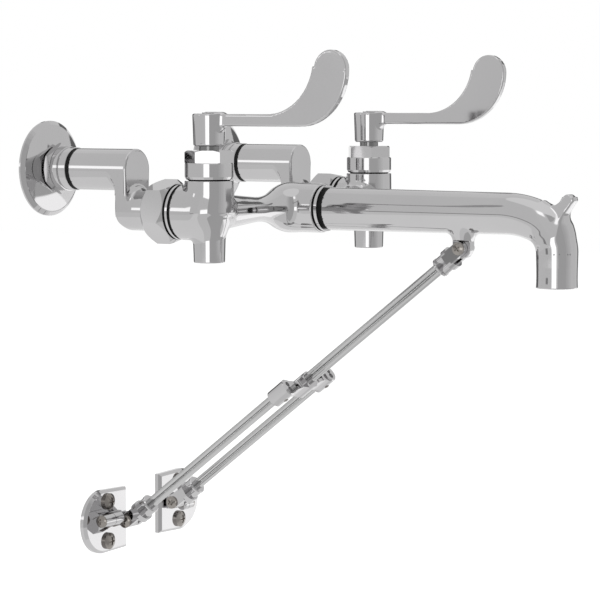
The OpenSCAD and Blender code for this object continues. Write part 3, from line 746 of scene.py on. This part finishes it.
def aim_at(obj, place, target, front):
    obj.location = place
    obj.rotation_euler = (Vector(target) - Vector(place)).to_track_quat(front, "Y").to_euler()


def softbox(name, place, width, height, level, sides, ends, target=AIM):
    """Card with soft edges: sides and ends are the shares of it that fade."""
    mat, tree, glow = glow_only(name, level)
    coords = tree.nodes.new("ShaderNodeTexCoord")
    split = tree.nodes.new("ShaderNodeSeparateXYZ")
    tree.links.new(coords.outputs["Generated"], split.inputs["Vector"])
    share = product(tree, fade(tree, split.outputs["X"], *sides), fade(tree, split.outputs["Y"], *ends))
    clear = tree.nodes.new("ShaderNodeBsdfTransparent")
    shown = between(tree, share, clear.outputs["BSDF"], glow.outputs["Emission"])
    tree.links.new(shown, surface(tree))
    w, h = width / 2, height / 2
    obj = sheet(name, [(x, y, 0) for x, y in rectangle(-w, w, -h, h)], mat)
    aim_at(obj, place, target, "Z")
    reflected_only(obj)


def lamp(name, place, width, height, power):
    data = bpy.data.lights.new(name, "AREA")
    data.shape = "RECTANGLE"
    data.size = width
    data.size_y = height
    data.energy = power
    obj = bpy.data.objects.new(name, data)
    aim_at(obj, AIM + Vector(place), AIM, "-Z")
    obj.visible_glossy = False
    bpy.context.scene.collection.objects.link(obj)


# Name, headings in degrees from +X towards +Y, heights in degrees, distance in metres and level
FULL = (-14, 66)
LOW = (-14, 27)
HIGH = (27, 66)
FLAT_AWAY, HIGH_FLAG_AWAY, FLAG_AWAY = 3.4, 3.3, 3.2
FLATS = (
    ("flat_left", (80, 176), FULL, FLAT_AWAY, 0.78),
    ("flat_front_left", (176, 214), FULL, FLAT_AWAY, 0.80),
    ("flat_front_right", (214, 258), FULL, FLAT_AWAY, 0.56),
    ("flat_step_1", (258, 268), FULL, FLAT_AWAY, 0.62),
    ("flat_step_2", (268, 278), FULL, FLAT_AWAY, 0.68),
    ("flat_step_3", (278, 288), FULL, FLAT_AWAY, 0.74),
    ("flat_right", (288, 346), FULL, FLAT_AWAY, 0.80),
    ("flat_rear", (-14, 80), HIGH, FLAT_AWAY, 0.84),
    ("flag_rear_high", (-14, 80), (15, 27), HIGH_FLAG_AWAY, 0.16),
    ("flag_rear_left", (48, 80), LOW, FLAG_AWAY, 0.14),
    ("flag_rear_right", (-14, 14), LOW, FLAG_AWAY, 0.18),
)
SHADE_CORNERS = [(0.0, -0.24), (-2.6, -2.0), (-2.6, -3.5), (2.2, -3.5), (2.2, -1.12), (0.42, -1.12)]

for row in FLATS:
    flat(*row)
floor_card("floor_card_front", rectangle(-3.0, 0.35, -3.0, -0.16), 0.82)
floor_card("floor_card_shade", SHADE_CORNERS, 0.56, SHADE_LIFT)
floor_card("floor_card_middle", rectangle(-3.0, 0.35, -0.16, 0.45), 0.96)
floor_card("floor_card_rear", rectangle(-3.0, 3.0, 0.45, 3.0), 0.84)
floor_card("floor_card_bright", rectangle(0.45, 1.4, -1.1, -0.25), 1.5)

# Name, place, width, height, level, and the shares of its sides and ends that fade
softbox("arm_light", (-2.48, 1.683, 0.53), 0.46, 0.735, 1.7, (0.10, 0.05), (0.05, 0.30), (0.0, 0.06, 0.53))
softbox("front_light", AIM + Vector((-1.16, -0.37, -0.04)), 0.62, 0.50, 2.0, (0.12, 0.16), (0.15, 0.15))
softbox("top_light", AIM + Vector((-0.75, -0.25, 1.3)), 0.5, 0.5, 1.7, (0.3, 0.3), (0.3, 0.3))
softbox("spout_flag", (-1.30, 0.42, -0.14), 0.40, 0.10, 0.30, (0.1, 0.1), (0.3, 0.3), (-0.2, -0.3, -0.1))

# Name, place from AIM, width, height and power
lamp("left_lamp", (-1.85, 1.35, 1.0), 1.1, 0.6, 18)
lamp("front_lamp", (-2.55, -0.5, 0.6), 0.8, 1.2, 24)

bpy.context.scene.view_settings.view_transform = "Standard"
